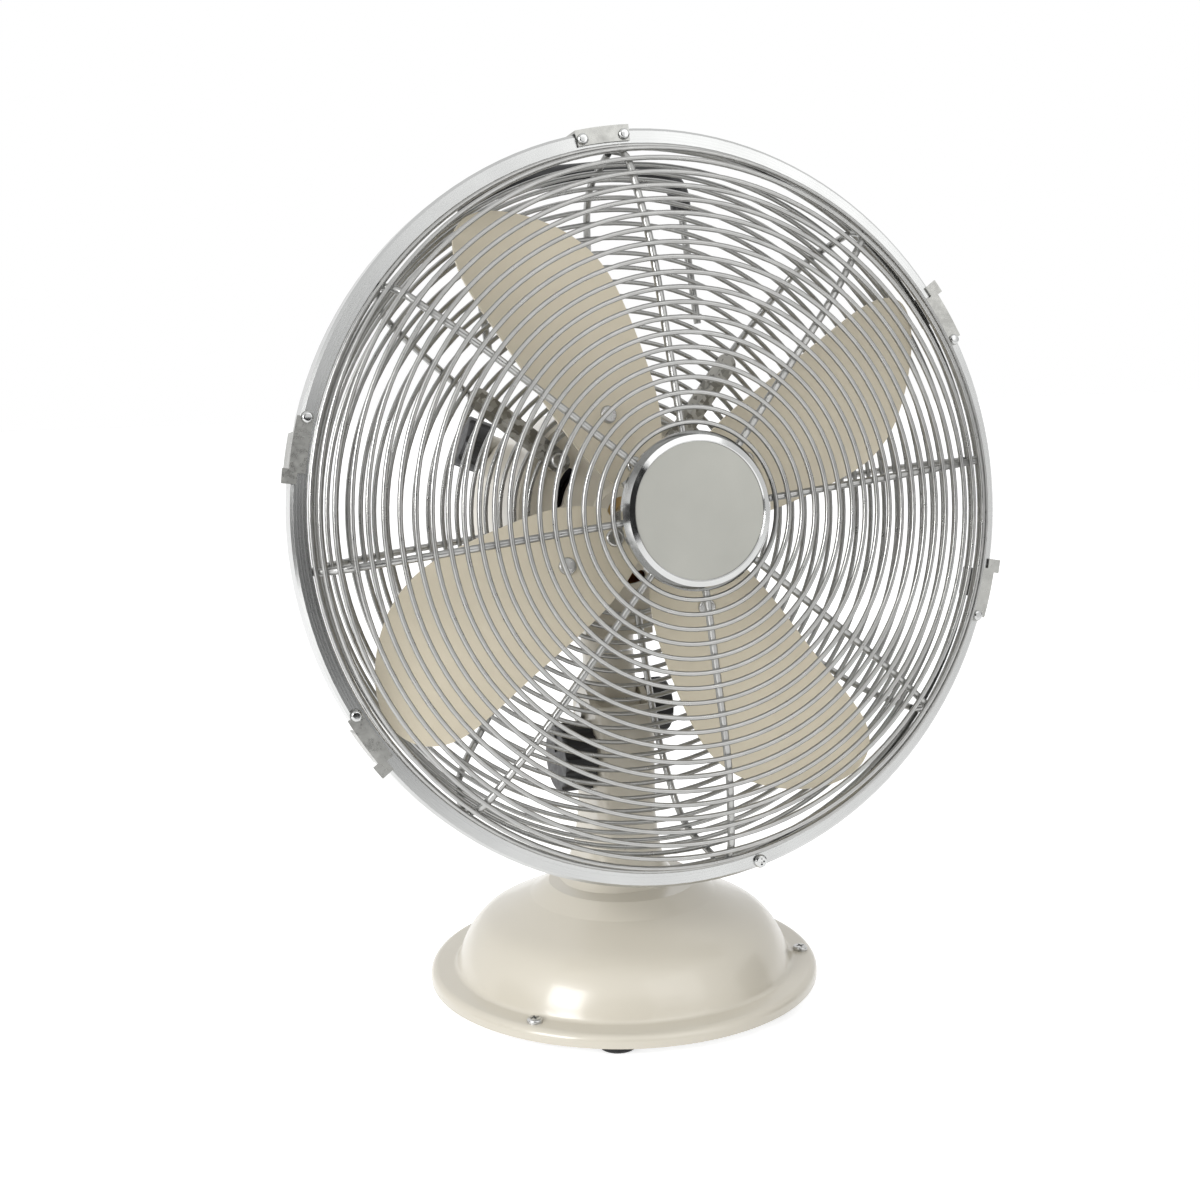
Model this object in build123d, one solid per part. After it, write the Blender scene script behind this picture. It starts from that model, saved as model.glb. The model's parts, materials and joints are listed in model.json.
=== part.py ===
from build123d import *
import os
from math import cos, hypot, radians, sin

# Desk fan with a wire cage, tilting and oscillating head, on a round base.
# Units are millimetres, +Z is up, the fan blows towards -Y and the origin is the base centre at table level.

# Stand
BASE_R = 94.5
BASE_WALL = 1.2
FOOT_H = 5.0
FLANGE_LIP = FOOT_H
FLANGE_TOP = 11.0
FLANGE_EDGE_R = 3.5
GROOVE_R = 84.0
DOME_TOP_R = 36.0
DOME_TOP_Z = 51.0
SPIGOT_R = 10.0
PLATE_T = 1.5
PLATE_RING_W = 11.0
FOOT_R = 9.0
FOOT_COUNT = 6
FOOT_PCD_R = 80.0
FOOT_PHASE = -113.0
FOOT_STUD_R = 3.0
BASE_SCREW_COUNT = 3
BASE_SCREW_PCD_R = 87.6
BASE_SCREW_PHASE = -138.0
SCREW_R = 1.6
SCREW_HEAD_R = 3.6
SCREW_HEAD_H = 2.0
GROMMET_R = 6.0
GROMMET_FLANGE = 2.4
CORD_BORE_R = 3.2

# Column and tilt joint
COLUMN_W = 30.0
COLUMN_FOOT_W = 58.0
COLUMN_FLARE_H = 34.0
COLUMN_D = 37.0
COLUMN_Y = 6.5
COLUMN_WALL = 3.0
COLUMN_CORNER = 6.0
COLUMN_FOOT_T = 4.0
COLUMN_TOP = 139.0
COLUMN_SCREW_SPAN = 16.0
COLUMN_SCREW_R = 2.0
PIVOT_Y = 12.0
PIVOT_Z = 133.0
CHEEK_R = 13.0
TILT_BOLT_R = 3.0
TILT_HEAD_R = 4.2
TILT_KNOB_R = 13.5
TILT_KNOB_L = 13.0
SPEED_KNOB_R = 16.5
SPEED_KNOB_L = 16.0
SPEED_KNOB_Y = 4.0
SPEED_KNOB_Z = 113.5
SPINDLE_R = 3.0
SWITCH_H = 18.0
SWITCH_D = 18.0
SWITCH_W = 15.0
CAPACITOR_R = 11.0
CAPACITOR_L = 34.0

# Head placing: the fan axis leans up by the rest tilt, and the neck axis is square to it
REST_TILT = 6.0
NECK_H = 95.0
RIM_FORWARD = 82.0
NECK_R = 12.5
TONGUE_R = 10.0
NECK_TOP = 66.5
WASHER_T = 1.0
PIN_R = 4.0
MOUNT_R = 13.0
MOUNT_W = 34.0
MOUNT_L = 36.0

# Motor, distances along the fan axis are counted forward from the rim plane
MOTOR_R = 52.0
MOTOR_WALL = 1.5
PLATE_Z = -54.5
COVER_JOINT_Z = -68.0
DOME_START_Z = -122.0
MOTOR_END_Z = -168.0
SLOT_R = 31.0
SLOT_W = 5.0
SLOT_ARC = 27.0
SLOT_COUNT = 6
SLOT_PHASE = 153.5
SHAFT_R = 4.0
SHAFT_FRONT_Z = 12.0
SHAFT_REAR_Z = -150.0
BUSH_R = 8.0
BUSH_L = 12.0
STATOR_R = 47.5
STATOR_BORE_R = 28.5
STATOR_FRONT_Z = -76.0
STATOR_L = 30.0
COIL_T = 6.0
AIR_GAP = 0.4
BRACKET_Z = -118.0
BRACKET_T = 2.5
STATOR_BOLT_R = 2.0
STATOR_BOLT_PCD_R = 44.0
WORM_R = 7.0
WORM_L = 18.0
WORM_Z = -138.0
WHEEL_R = 11.0
WHEEL_T = 8.0
WHEEL_TEETH = 24
CLUTCH_ANGLE = 158.0
CLUTCH_SPINDLE_R = 3.0
CLUTCH_COLLAR_R = 8.0
CLUTCH_KNOB_R = 13.0
CLUTCH_KNOB_L = 13.0
CLUTCH_KNOB_START = 51.5
CASE_WALL = 2.0
PLUG_R = 6.0
PLUG_H = 7.0
PLUG_Z = -130.0

# Blades
BLADE_TIP_R = 151.0
BLADE_ROOT_R = 20.0
BLADE_T = 1.2
BLADE_Z = -8.0
BLADE_PITCH = 14.0
BLADE_CAMBER_R = 85.0
BLADE_PHASE = 26.0
BLADE_COUNT = 4
ARM_T = 2.0
ARM_HALF_W = 9.0
ARM_END = 57.0
HUB_R = 13.0
HUB_L = 20.0
HUB_FRONT_Z = 3.0
RIVET_R = 2.0
RIVET_HEAD_R = 4.0
RIVET_INNER = 23.5
RIVET_OUTER = 48.5

# Cage
RIM_R = 164.0
RIM_WALL = 1.2
RIM_LIP = 6.5
RIM_FRONT_Z = 7.0
RIM_REAR_Z = -5.2
RING_WIRE_R = 1.0
SPOKE_WIRE_R = 1.5
EDGE_WIRE_R = 1.6
WELD = 0.35
WIRE_SIDES = 8
SPOKE_COUNT = 8
SPOKE_PHASE = 6.0
SPOKE_INNER_R = 29.5
SPOKE_OVERRUN = 1.4
RING_END_GAP = 6.0
FRONT_RINGS = 21
FRONT_FACE_Z = 35.0
FRONT_FIRST_R = 37.0
REAR_RINGS = 20
REAR_FACE_Z = -49.5
REAR_FIRST_R = 47.0
EDGE_RING_R = 158.5
FRONT_EDGE_Z = 4.0
REAR_EDGE_Z = -3.4
CAP_R = 33.5
CAP_DISC_R = 28.8
CAP_FRONT_Z = 40.0
CAP_PLATE_R = 32.0
STRIP_W = 10.0
STRIP_T = 1.2
STRIP_INNER = 35.0
STRIP_OUTER = 92.0
STRIP_SCREW_PCD_R = 41.0
STRIP_BOSS_R = 4.5
HANDLE_WIRE_R = 1.75
HANDLE_PHASE = 6.0
HANDLE_HALF_W = 52.0
HANDLE_LEG_LOW = 82.5
HANDLE_CORNER = 150.5
HANDLE_TOP = 157.0
HANDLE_CROWN_HALF_W = 24.0
HANDLE_BEND_R = 12.0
HANDLE_CROWN_R = 120.0
GRIP_DROP = 17.0
GRIP_R = 4.8
CLIP_T = 1.0
CLIP_ARC = 8.0
CLIP_ANGLES = (163.5, 207.8, 339.6, 26.4)
CLIP_RIVET_R = 1.2
CLIP_RIVET_HEAD_R = 2.4
STRAP_ANGLE = 98.0
STRAP_ARC = 8.5
SAFETY_ANGLE = -77.7

# Clearances
RUN_FIT = 0.05
SHAFT_FIT = 0.02
SLIDE_GAP = 0.3
SEAT_GAP = 0.1

# Spokes lie behind the rings, sunk into them by the weld, and end on the inside of the edge ring
SPOKE_OFFSET = RING_WIRE_R + SPOKE_WIRE_R - WELD
SPOKE_END_R = EDGE_RING_R - EDGE_WIRE_R - SPOKE_WIRE_R + WELD

HEAD_TILT = radians(REST_TILT)
AXIS_DIR = Vector(0, -cos(HEAD_TILT), sin(HEAD_TILT))
NECK_DIR = Vector(0, sin(HEAD_TILT), cos(HEAD_TILT))
PIVOT = Vector(0, PIVOT_Y, PIVOT_Z)
RIM_CENTRE = PIVOT + NECK_DIR * NECK_H + AXIS_DIR * RIM_FORWARD

# Head frame: x to the right seen from the front, y up along the neck axis, z forward along the fan axis
HEAD = Plane(origin=RIM_CENTRE, x_dir=(1, 0, 0), z_dir=AXIS_DIR).location


def save(name, *solids):
    """Write one node, as one solid or as a group of separate solids."""
    shapes = [s for shape in solids for s in shape.solids()]
    export_step(shapes[0] if len(shapes) == 1 else Compound(children=shapes), f"parts/{name}.step")


def save_head(name, *solids):
    """Write one node that is modelled in the head frame."""
    save(name, *[HEAD * shape for shape in solids])


def rod(radius, z0, z1, x=0.0, y=0.0):
    """Round bar along Z between two heights."""
    bar = Cylinder(radius, abs(z1 - z0), align=(Align.CENTER, Align.CENTER, Align.MIN))
    return Pos(x, y, min(z0, z1)) * bar


def tube(outer, inner, z0, z1, x=0.0, y=0.0):
    """Round tube along Z between two heights."""
    return rod(outer, z0, z1, x, y) - rod(inner, z0 - 1, z1 + 1, x, y)


def rod_x(radius, x0, x1, y, z):
    """Round bar along X."""
    return Pos(min(x0, x1), y, z) * Rot(0, 90, 0) * rod(radius, 0, abs(x1 - x0))


def block(x0, x1, y0, y1, z0, z1):
    """Box between two corners."""
    return Pos((x0 + x1) / 2, (y0 + y1) / 2, (z0 + z1) / 2) * Box(abs(x1 - x0), abs(y1 - y0), abs(z1 - z0))


def spin(shape, angle):
    """Turn a shape about the Z axis."""
    return Rot(0, 0, angle) * shape


def around(radius, angle):
    """Point on a circle, as x and y."""
    return radius * cos(radians(angle)), radius * sin(radians(angle))


def turned(points, arc=360.0):
    """Turn a closed outline of (radius, height) points about the Z axis."""
    outline = Polyline(*[(r, 0, z) for r, z in points], close=True)
    return revolve(make_face(outline), Axis.Z, revolution_arc=arc)


def inset(points, distance):
    """Points of an open profile moved sideways by a distance, to the left of its direction."""
    moved = []
    for i, (r, z) in enumerate(points):
        r0, z0 = points[max(i - 1, 0)]
        r1, z1 = points[min(i + 1, len(points) - 1)]
        length = hypot(r1 - r0, z1 - z0)
        moved.append((r - distance * (z1 - z0) / length, z + distance * (r1 - r0) / length))
    return moved


def profile_edge(points):
    """Smooth curve through (radius, height) points in the XZ plane."""
    return Spline(*[(r, 0, z) for r, z in points])


def fluted_knob(radius, length, flutes):
    """Round knob along Z with finger flutes and a rounded outer edge."""
    body = rod(radius, 0, length)
    body = fillet(body.edges().group_by(Axis.Z)[-1], 2.0)
    flute_r = radius * 0.2
    for i in range(flutes):
        x, y = around(radius + flute_r * 0.55, i * 360 / flutes)
        body -= rod(flute_r, -1, length + 1, x, y)
    return body


# Stand

def dome_points():
    """Outer profile of the base dome, from the groove up to the flat top."""
    return [
        (GROOVE_R, FLANGE_TOP),
        (GROOVE_R - 3.0, FLANGE_TOP + 3.0),
        (GROOVE_R - 7.0, FLANGE_TOP + 12.0),
        (GROOVE_R - 14.5, FLANGE_TOP + 21.5),
        (DOME_TOP_R + 21.0, DOME_TOP_Z - 11.7),
        (DOME_TOP_R + 10.0, DOME_TOP_Z - 6.4),
        (DOME_TOP_R, DOME_TOP_Z),
    ]


def base_shape(wall):
    """Solid of revolution of the base shell, moved inwards by a wall."""
    side = BASE_R - wall
    top = FLANGE_TOP - wall
    roof = DOME_TOP_Z - wall
    edge_x = BASE_R - FLANGE_EDGE_R
    edge_z = FLANGE_TOP - FLANGE_EDGE_R
    bulge_x, bulge_z = around(FLANGE_EDGE_R - wall, 45)
    dome = inset(dome_points(), wall)
    dome[0] = (GROOVE_R, top)
    dome[-1] = (DOME_TOP_R, roof)
    lean = Vector(DOME_TOP_R - dome[-2][0], 0, roof - dome[-2][1])
    edges = [
        Line((0, 0, FLANGE_LIP), (side, 0, FLANGE_LIP)),
        Line((side, 0, FLANGE_LIP), (side, 0, edge_z)),
        ThreePointArc((side, 0, edge_z), (edge_x + bulge_x, 0, edge_z + bulge_z), (edge_x, 0, top)),
        Line((edge_x, 0, top), (GROOVE_R, 0, top)),
        Spline(*[(r, 0, z) for r, z in dome], tangents=[(-1, 0, 0), lean]),
        Line((DOME_TOP_R, 0, roof), (0, 0, roof)),
        Line((0, 0, roof), (0, 0, FLANGE_LIP)),
    ]
    return revolve(make_face(Wire(edges)), Axis.Z)


def base_screw_spots():
    """Places of the flange screws."""
    step = 360 / BASE_SCREW_COUNT
    return [around(BASE_SCREW_PCD_R, BASE_SCREW_PHASE + i * step) for i in range(BASE_SCREW_COUNT)]


def foot_spots():
    """Places of the rubber feet."""
    return [around(FOOT_PCD_R, FOOT_PHASE + i * 360 / FOOT_COUNT) for i in range(FOOT_COUNT)]


def column_screw_spots():
    """Places of the screws that hold the column on the dome."""
    span = COLUMN_SCREW_SPAN
    return [(sx * span, COLUMN_Y + sy * span) for sx in (-1, 1) for sy in (-1, 1)]


def grommet_place():
    """Place of the cord grommet at the rear, square to the dome."""
    (r0, z0), (r, z), (r1, z1) = dome_points()[1:4]
    return Plane(origin=(0, r, z), x_dir=(1, 0, 0), z_dir=(0, z1 - z0, r0 - r1)).location


def base_shell():
    """Pressed steel dome with a flat flange and a turned-down lip."""
    shell = base_shape(0.0) - base_shape(BASE_WALL)
    shell -= rod(SPIGOT_R, DOME_TOP_Z - 10, DOME_TOP_Z + 10, 0, COLUMN_Y)
    for x, y in base_screw_spots():
        shell -= rod(SCREW_R + SEAT_GAP, FLANGE_TOP - 4, FLANGE_TOP + 4, x, y)
    for x, y in column_screw_spots():
        shell -= rod(COLUMN_SCREW_R + RUN_FIT, DOME_TOP_Z - 6, DOME_TOP_Z + 6, x, y)
    return shell - grommet_place() * rod(GROMMET_R + RUN_FIT, -12, 12)


def base_plate():
    """Bottom plate with a thick ring that takes the flange screws and the feet."""
    outer = BASE_R - BASE_WALL - SLIDE_GAP
    top = FLANGE_TOP - BASE_WALL
    points = [
        (0.0, FLANGE_LIP),
        (outer, FLANGE_LIP),
        (outer, top - 2.6),
        (outer - 2.6, top),
        (outer - PLATE_RING_W, top),
        (outer - PLATE_RING_W, FLANGE_LIP + PLATE_T),
        (0.0, FLANGE_LIP + PLATE_T),
    ]
    plate = turned(points)
    for x, y in base_screw_spots():
        plate -= rod(SCREW_R + RUN_FIT, 0, FLANGE_TOP, x, y)
    for x, y in foot_spots():
        plate -= rod(FOOT_STUD_R + RUN_FIT, 0, FLANGE_TOP, x, y)
    return plate


def pan_screw(shank_r, head_r, length, head_h):
    """Cross-head screw along Z, its head standing on height 0."""
    head = fillet(rod(head_r, 0, head_h).edges().group_by(Axis.Z)[-1], head_h * 0.6)
    slot = block(-head_r * 0.55, head_r * 0.55, -0.5, 0.5, head_h * 0.45, head_h + 1)
    return head + rod(shank_r, -length, 0) - slot - spin(slot, 90)


def base_screws():
    """Flange screws."""
    screw = pan_screw(SCREW_R, SCREW_HEAD_R, FLANGE_TOP - FLANGE_LIP - 0.5, SCREW_HEAD_H)
    return [Pos(x, y, FLANGE_TOP) * screw for x, y in base_screw_spots()]


def rubber_feet():
    """Feet with studs pressed into the bottom plate."""
    foot = turned([(0, 0), (FOOT_R - 1, 0), (FOOT_R, 1), (FOOT_R, FOOT_H), (0, FOOT_H)])
    foot += rod(FOOT_STUD_R, FOOT_H - 0.5, FLANGE_LIP + PLATE_T)
    return [Pos(x, y, 0) * foot for x, y in foot_spots()]


def cord_grommet():
    """Rubber grommet for the cord, square to the dome at the rear."""
    ring = tube(GROMMET_R, CORD_BORE_R, -3.5, 3.5)
    ring += tube(GROMMET_R + GROMMET_FLANGE, CORD_BORE_R, 0.7, 3.5)
    return grommet_place() * (ring + tube(GROMMET_R + GROMMET_FLANGE, CORD_BORE_R, -4.5, -2.2))


def column_section(width, depth, corner, z):
    """Rounded rectangle of the column at one height."""
    return Pos(0, COLUMN_Y, z) * RectangleRounded(width, depth, corner)


def column_body(shrink):
    """Column with a flared foot, moved inwards by a wall."""
    spread = COLUMN_FOOT_W - COLUMN_W
    sections = []
    for share, height in ((1.0, 0.0), (0.55, 0.18), (0.23, 0.47), (0.0, 1.0)):
        width = COLUMN_W + share * spread - 2 * shrink
        depth = COLUMN_D + share * 0.75 * spread - 2 * shrink
        corner = COLUMN_CORNER + share * 20.0 - shrink
        sections.append(column_section(width, depth, corner, DOME_TOP_Z + height * COLUMN_FLARE_H))
    shaft = extrude(sections[-1], COLUMN_TOP - DOME_TOP_Z - COLUMN_FLARE_H)
    return loft(sections) + shaft


def column_inner():
    """Half of the clear width inside the column."""
    return COLUMN_W / 2 - COLUMN_WALL


def column():
    """Hollow column with a fork of two rounded cheeks."""
    body = column_body(0.0)
    foot_top = DOME_TOP_Z + COLUMN_FOOT_T
    hollow = column_body(COLUMN_WALL) - block(-60, 60, -60, 60, DOME_TOP_Z - 1, foot_top)
    shell = body - hollow - rod(SPIGOT_R, DOME_TOP_Z - 1, foot_top + 1, 0, COLUMN_Y)
    for x, y in column_screw_spots():
        shell -= rod(COLUMN_SCREW_R + RUN_FIT, DOME_TOP_Z - 1, foot_top + 1, x, y)
    inner = column_inner()
    for side in (-1, 1):
        shell += rod_x(CHEEK_R, side * inner, side * COLUMN_W / 2, PIVOT_Y, PIVOT_Z)
    shell -= block(-inner, inner, PIVOT_Y, PIVOT_Y + COLUMN_D, PIVOT_Z - 8.0, COLUMN_TOP + 1)
    shell -= rod_x(TILT_BOLT_R + RUN_FIT, -COLUMN_W, COLUMN_W, PIVOT_Y, PIVOT_Z)
    shell -= rod_x(SPINDLE_R + SLIDE_GAP, -COLUMN_W, 0, SPEED_KNOB_Y, SPEED_KNOB_Z)
    return shell


def column_screws():
    """Screws from under the dome into the foot of the column."""
    screw = Rot(180, 0, 0) * pan_screw(COLUMN_SCREW_R, 4.0, BASE_WALL + COLUMN_FOOT_T - 0.4, 2.2)
    return [Pos(x, y, DOME_TOP_Z - BASE_WALL) * screw for x, y in column_screw_spots()]


def speed_switch():
    """Rotary switch against the left wall of the column."""
    x0 = -column_inner()
    body = block(x0, x0 + SWITCH_W, SPEED_KNOB_Y - SWITCH_D / 2, SPEED_KNOB_Y + SWITCH_D / 2,
                 SPEED_KNOB_Z - SWITCH_H / 2, SPEED_KNOB_Z + SWITCH_H / 2)
    return body - rod_x(SPINDLE_R + RUN_FIT, x0 - 1, x0 + SWITCH_W * 0.6, SPEED_KNOB_Y, SPEED_KNOB_Z)


def run_capacitor():
    """Run capacitor lying on the bottom plate."""
    z = FLANGE_LIP + PLATE_T + CAPACITOR_R
    return rod_x(CAPACITOR_R, -CAPACITOR_L / 2, CAPACITOR_L / 2, -20.0, z)


def tilt_bolt():
    """Bolt through the fork and the neck, with a low round head on the left."""
    head = rod_x(TILT_HEAD_R, -COLUMN_W / 2 - 2.0, -COLUMN_W / 2, PIVOT_Y, PIVOT_Z)
    return head + rod_x(TILT_BOLT_R, -COLUMN_W / 2, COLUMN_W / 2 + TILT_KNOB_L - 3.0, PIVOT_Y, PIVOT_Z)


def tilt_knob():
    """Fluted clamping knob on the right end of the tilt bolt."""
    knob = fluted_knob(TILT_KNOB_R, TILT_KNOB_L, 8)
    knob -= rod(TILT_BOLT_R + RUN_FIT, -1, TILT_KNOB_L - 2.5)
    return Pos(COLUMN_W / 2 + SLIDE_GAP, PIVOT_Y, PIVOT_Z) * Rot(0, 90, 0) * knob


def speed_knob():
    """Fluted knob on the left side of the column, with a pointer ridge."""
    knob = fluted_knob(SPEED_KNOB_R, SPEED_KNOB_L, 10)
    ridge = block(3.0, SPEED_KNOB_R - 3.0, -1.0, 1.0, SPEED_KNOB_L - 0.5, SPEED_KNOB_L + 0.8)
    knob = knob + ridge - rod(SPINDLE_R + SHAFT_FIT, -1, SPEED_KNOB_L - 4)
    return Pos(-COLUMN_W / 2 - 2 * SLIDE_GAP, SPEED_KNOB_Y, SPEED_KNOB_Z) * Rot(0, -90, 0) * knob


def switch_spindle():
    """Spindle of the switch, carrying the speed knob."""
    inner_end = -column_inner() + SWITCH_W * 0.5
    return rod_x(SPINDLE_R, -COLUMN_W / 2 - SPEED_KNOB_L + 5.0, inner_end, SPEED_KNOB_Y, SPEED_KNOB_Z)


# Neck, in the head frame: the neck axis runs along y at z = -RIM_FORWARD

def along_neck(shape):
    """Place a shape modelled along Z on the neck axis, with its height counted up from the fan axis."""
    return Pos(0, 0, -RIM_FORWARD) * Rot(-90, 0, 0) * shape


def neck():
    """Tilting neck: round tongue between the cheeks, stem and flat top."""
    half = column_inner() - SLIDE_GAP
    tongue = rod_x(TONGUE_R, -half, half, -NECK_H, -RIM_FORWARD)
    low = -NECK_H + 1.0
    stem = loft([
        Pos(0, 0, low) * RectangleRounded(2 * half, 2 * TONGUE_R - 2, 4),
        Pos(0, 0, -NECK_H + CHEEK_R + 2.0) * RectangleRounded(2 * half, 2 * TONGUE_R, 6),
        Pos(0, 0, -NECK_TOP) * Circle(NECK_R),
    ])
    body = tongue + along_neck(stem)
    body -= rod_x(TILT_BOLT_R + RUN_FIT, -COLUMN_W, COLUMN_W, -NECK_H, -RIM_FORWARD)
    return body - along_neck(rod(PIN_R + SHAFT_FIT, -NECK_H + TONGUE_R - 4, 0))


def pivot_pin():
    """Steel pin on which the head swings."""
    return along_neck(rod(PIN_R, -NECK_H + TONGUE_R - 3.5, -MOTOR_R - 1.0))


def thrust_washer():
    """Washer between the neck and the motor mount."""
    return along_neck(tube(NECK_R - 0.5, PIN_R + RUN_FIT, -NECK_TOP, -NECK_TOP + WASHER_T))


# Motor

def motor_mount():
    """Saddle under the motor with the socket of the pivot pin."""
    low = -NECK_TOP + WASHER_T + SEAT_GAP
    back = -RIM_FORWARD - MOUNT_L / 2
    saddle = block(-MOUNT_W / 2, MOUNT_W / 2, -MOTOR_R - 6.0, -30.0, back, back + MOUNT_L)
    body = saddle + along_neck(rod(MOUNT_R, low, -30.0))
    body -= rod(MOTOR_R + SEAT_GAP, -200, 0)
    return body - along_neck(rod(PIN_R + RUN_FIT, low - 1, -30.0))


def strip_angles():
    """Angles of the four guard strips, on every second spoke."""
    return [SPOKE_PHASE + 45 + 90 * i for i in range(4)]


def strip_back_z():
    """Back face of the guard strips, just ahead of the rear rings."""
    return REAR_FACE_Z + RING_WIRE_R + SEAT_GAP


def arc_slot(radius, width, arc, z0, z1):
    """Slot bent along a circle, with round ends, centred on angle 0."""
    half = width / 2
    ring = turned([(radius - half, z0), (radius + half, z0), (radius + half, z1), (radius - half, z1)], arc)
    slot = spin(ring, -arc / 2)
    for side in (-1, 1):
        x, y = around(radius, side * arc / 2)
        slot += rod(half, z0, z1, x, y)
    return slot


def motor_front_cover():
    """Front plate of the motor with bosses for the guard strips, vents and a bush seat."""
    cover = turned([
        (BUSH_R, PLATE_Z + 4.0), (BUSH_R + 4, PLATE_Z + 4.0), (BUSH_R + 6, PLATE_Z), (MOTOR_R - 2, PLATE_Z),
        (MOTOR_R, PLATE_Z - 2), (MOTOR_R, COVER_JOINT_Z), (MOTOR_R - MOTOR_WALL, COVER_JOINT_Z),
        (MOTOR_R - MOTOR_WALL, PLATE_Z - 2.5), (BUSH_R + 5, PLATE_Z - 2.5),
        (BUSH_R + 5, PLATE_Z - BUSH_L + 4.0), (BUSH_R, PLATE_Z - BUSH_L + 4.0),
    ])
    for angle in strip_angles():
        x, y = around(STRIP_SCREW_PCD_R, angle)
        cover += rod(STRIP_BOSS_R, PLATE_Z - 2.0, strip_back_z(), x, y)
        cover -= rod(SCREW_R + RUN_FIT, PLATE_Z - 5, PLATE_Z + 20, x, y)
    slot = arc_slot(SLOT_R, SLOT_W, SLOT_ARC, PLATE_Z - 5, PLATE_Z + 2)
    for i in range(SLOT_COUNT):
        cover -= spin(slot, SLOT_PHASE + i * 360 / SLOT_COUNT)
    for x, y in stator_bolt_spots():
        cover -= rod(STATOR_BOLT_R + RUN_FIT, PLATE_Z - 5, PLATE_Z + 2, x, y)
    return cover


def rear_cover_points():
    """Outer profile of the domed rear cover, from the axis to the joint."""
    length = DOME_START_Z - MOTOR_END_Z
    return [
        (0.0, MOTOR_END_Z),
        (MOTOR_R * 0.42, MOTOR_END_Z + length * 0.06),
        (MOTOR_R * 0.76, MOTOR_END_Z + length * 0.27),
        (MOTOR_R * 0.95, MOTOR_END_Z + length * 0.62),
        (MOTOR_R, DOME_START_Z),
    ]


def rear_cover_solid(wall):
    """Solid of the rear cover, moved inwards by a wall."""
    points = inset(rear_cover_points(), wall)
    points[0] = (0.0, MOTOR_END_Z + wall)
    points[-1] = (MOTOR_R - wall, DOME_START_Z)
    edges = [
        profile_edge(points),
        Line((MOTOR_R - wall, 0, DOME_START_Z), (MOTOR_R - wall, 0, COVER_JOINT_Z)),
        Line((MOTOR_R - wall, 0, COVER_JOINT_Z), (0, 0, COVER_JOINT_Z)),
        Line((0, 0, COVER_JOINT_Z), (0, 0, MOTOR_END_Z + wall)),
    ]
    return revolve(make_face(Wire(edges)), Axis.Z)


def wheel_offset():
    """Distance from the shaft to the worm wheel axis."""
    return WORM_R + WHEEL_R + SLIDE_GAP


def along_clutch(shape):
    """Place a shape modelled along Z on the clutch axis, which crosses beside the worm."""
    return Rot(0, 0, CLUTCH_ANGLE) * Pos(0, -wheel_offset(), WORM_Z) * Rot(0, 90, 0) * shape


def motor_rear_cover():
    """Domed rear cover with a collar for the clutch spindle and a seat for the top plug."""
    collar = rod(CLUTCH_COLLAR_R, 30.0, CLUTCH_KNOB_START - 2 * SLIDE_GAP)
    shell = rear_cover_solid(0.0) + along_clutch(collar) - rear_cover_solid(MOTOR_WALL)
    shell -= along_clutch(rod(CLUTCH_SPINDLE_R + SEAT_GAP, 10, 80))
    return shell - Pos(0, 0, PLUG_Z) * Rot(-90, 0, 0) * rod(PLUG_R - 2 + RUN_FIT, 20, 80)


def top_plug():
    """Black plug in the top of the rear cover."""
    plug = rod(PLUG_R, MOTOR_R + SEAT_GAP, MOTOR_R + PLUG_H) + rod(PLUG_R - 2, MOTOR_R - 5, MOTOR_R + 1)
    plug = fillet(plug.edges().group_by(Axis.Z)[-1], 1.0)
    return Pos(0, 0, PLUG_Z) * Rot(-90, 0, 0) * plug


def stator_bolt_spots():
    """Places of the four long bolts that hold the motor together."""
    return [around(STATOR_BOLT_PCD_R, SPOKE_PHASE + 22.5 + 90 * i) for i in range(4)]


def stator_core():
    """Laminated stator ring with a round bore and slots for the coils."""
    back = STATOR_FRONT_Z - STATOR_L
    core = tube(STATOR_R, STATOR_BORE_R, back, STATOR_FRONT_Z)
    for i in range(12):
        x, y = around(STATOR_BORE_R + 4.5, i * 30)
        core -= rod(2.5, back - 1, STATOR_FRONT_Z + 1, x, y)
    for x, y in stator_bolt_spots():
        core -= rod(STATOR_BOLT_R + RUN_FIT, back - 1, STATOR_FRONT_Z + 1, x, y)
    return core


def stator_windings():
    """End turns of the coils at both faces of the stator."""
    rings = []
    back = STATOR_FRONT_Z - STATOR_L
    for z0, z1 in ((STATOR_FRONT_Z, STATOR_FRONT_Z + COIL_T), (back - COIL_T, back)):
        ring = tube(STATOR_BOLT_PCD_R - 4, STATOR_BORE_R + 1, z0, z1)
        rings.append(fillet(ring.edges(), 1.5))
    return rings


def stator_bolts():
    """Long bolts from the front plate through the stator to the rear bracket."""
    bolts = []
    for x, y in stator_bolt_spots():
        shank = rod(STATOR_BOLT_R, BRACKET_Z - BRACKET_T - 3, PLATE_Z, x, y)
        bolts.append(shank + rod(3.5, PLATE_Z, PLATE_Z + 1.6, x, y))
    return bolts


def rear_bracket():
    """Bracket plate behind the stator with the seat of the rear bush."""
    plate = rod(MOTOR_R - MOTOR_WALL - SEAT_GAP, BRACKET_Z - BRACKET_T, BRACKET_Z)
    for i in range(4):
        plate -= spin(arc_slot(36.0, 10.0, 40.0, BRACKET_Z - 10, BRACKET_Z + 10), SPOKE_PHASE + 67.5 + i * 90)
    plate += rod(BUSH_R + 3, BRACKET_Z, BRACKET_Z + BUSH_L - BRACKET_T)
    plate -= rod(BUSH_R, BRACKET_Z - 20, BRACKET_Z + 20)
    for x, y in stator_bolt_spots():
        plate -= rod(STATOR_BOLT_R + RUN_FIT, BRACKET_Z - 10, BRACKET_Z + 10, x, y)
    return plate


def bush(z_front):
    """Bronze bush, its bore a running fit on the shaft."""
    return tube(BUSH_R - SHAFT_FIT, SHAFT_R + RUN_FIT, z_front - BUSH_L, z_front)


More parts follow.
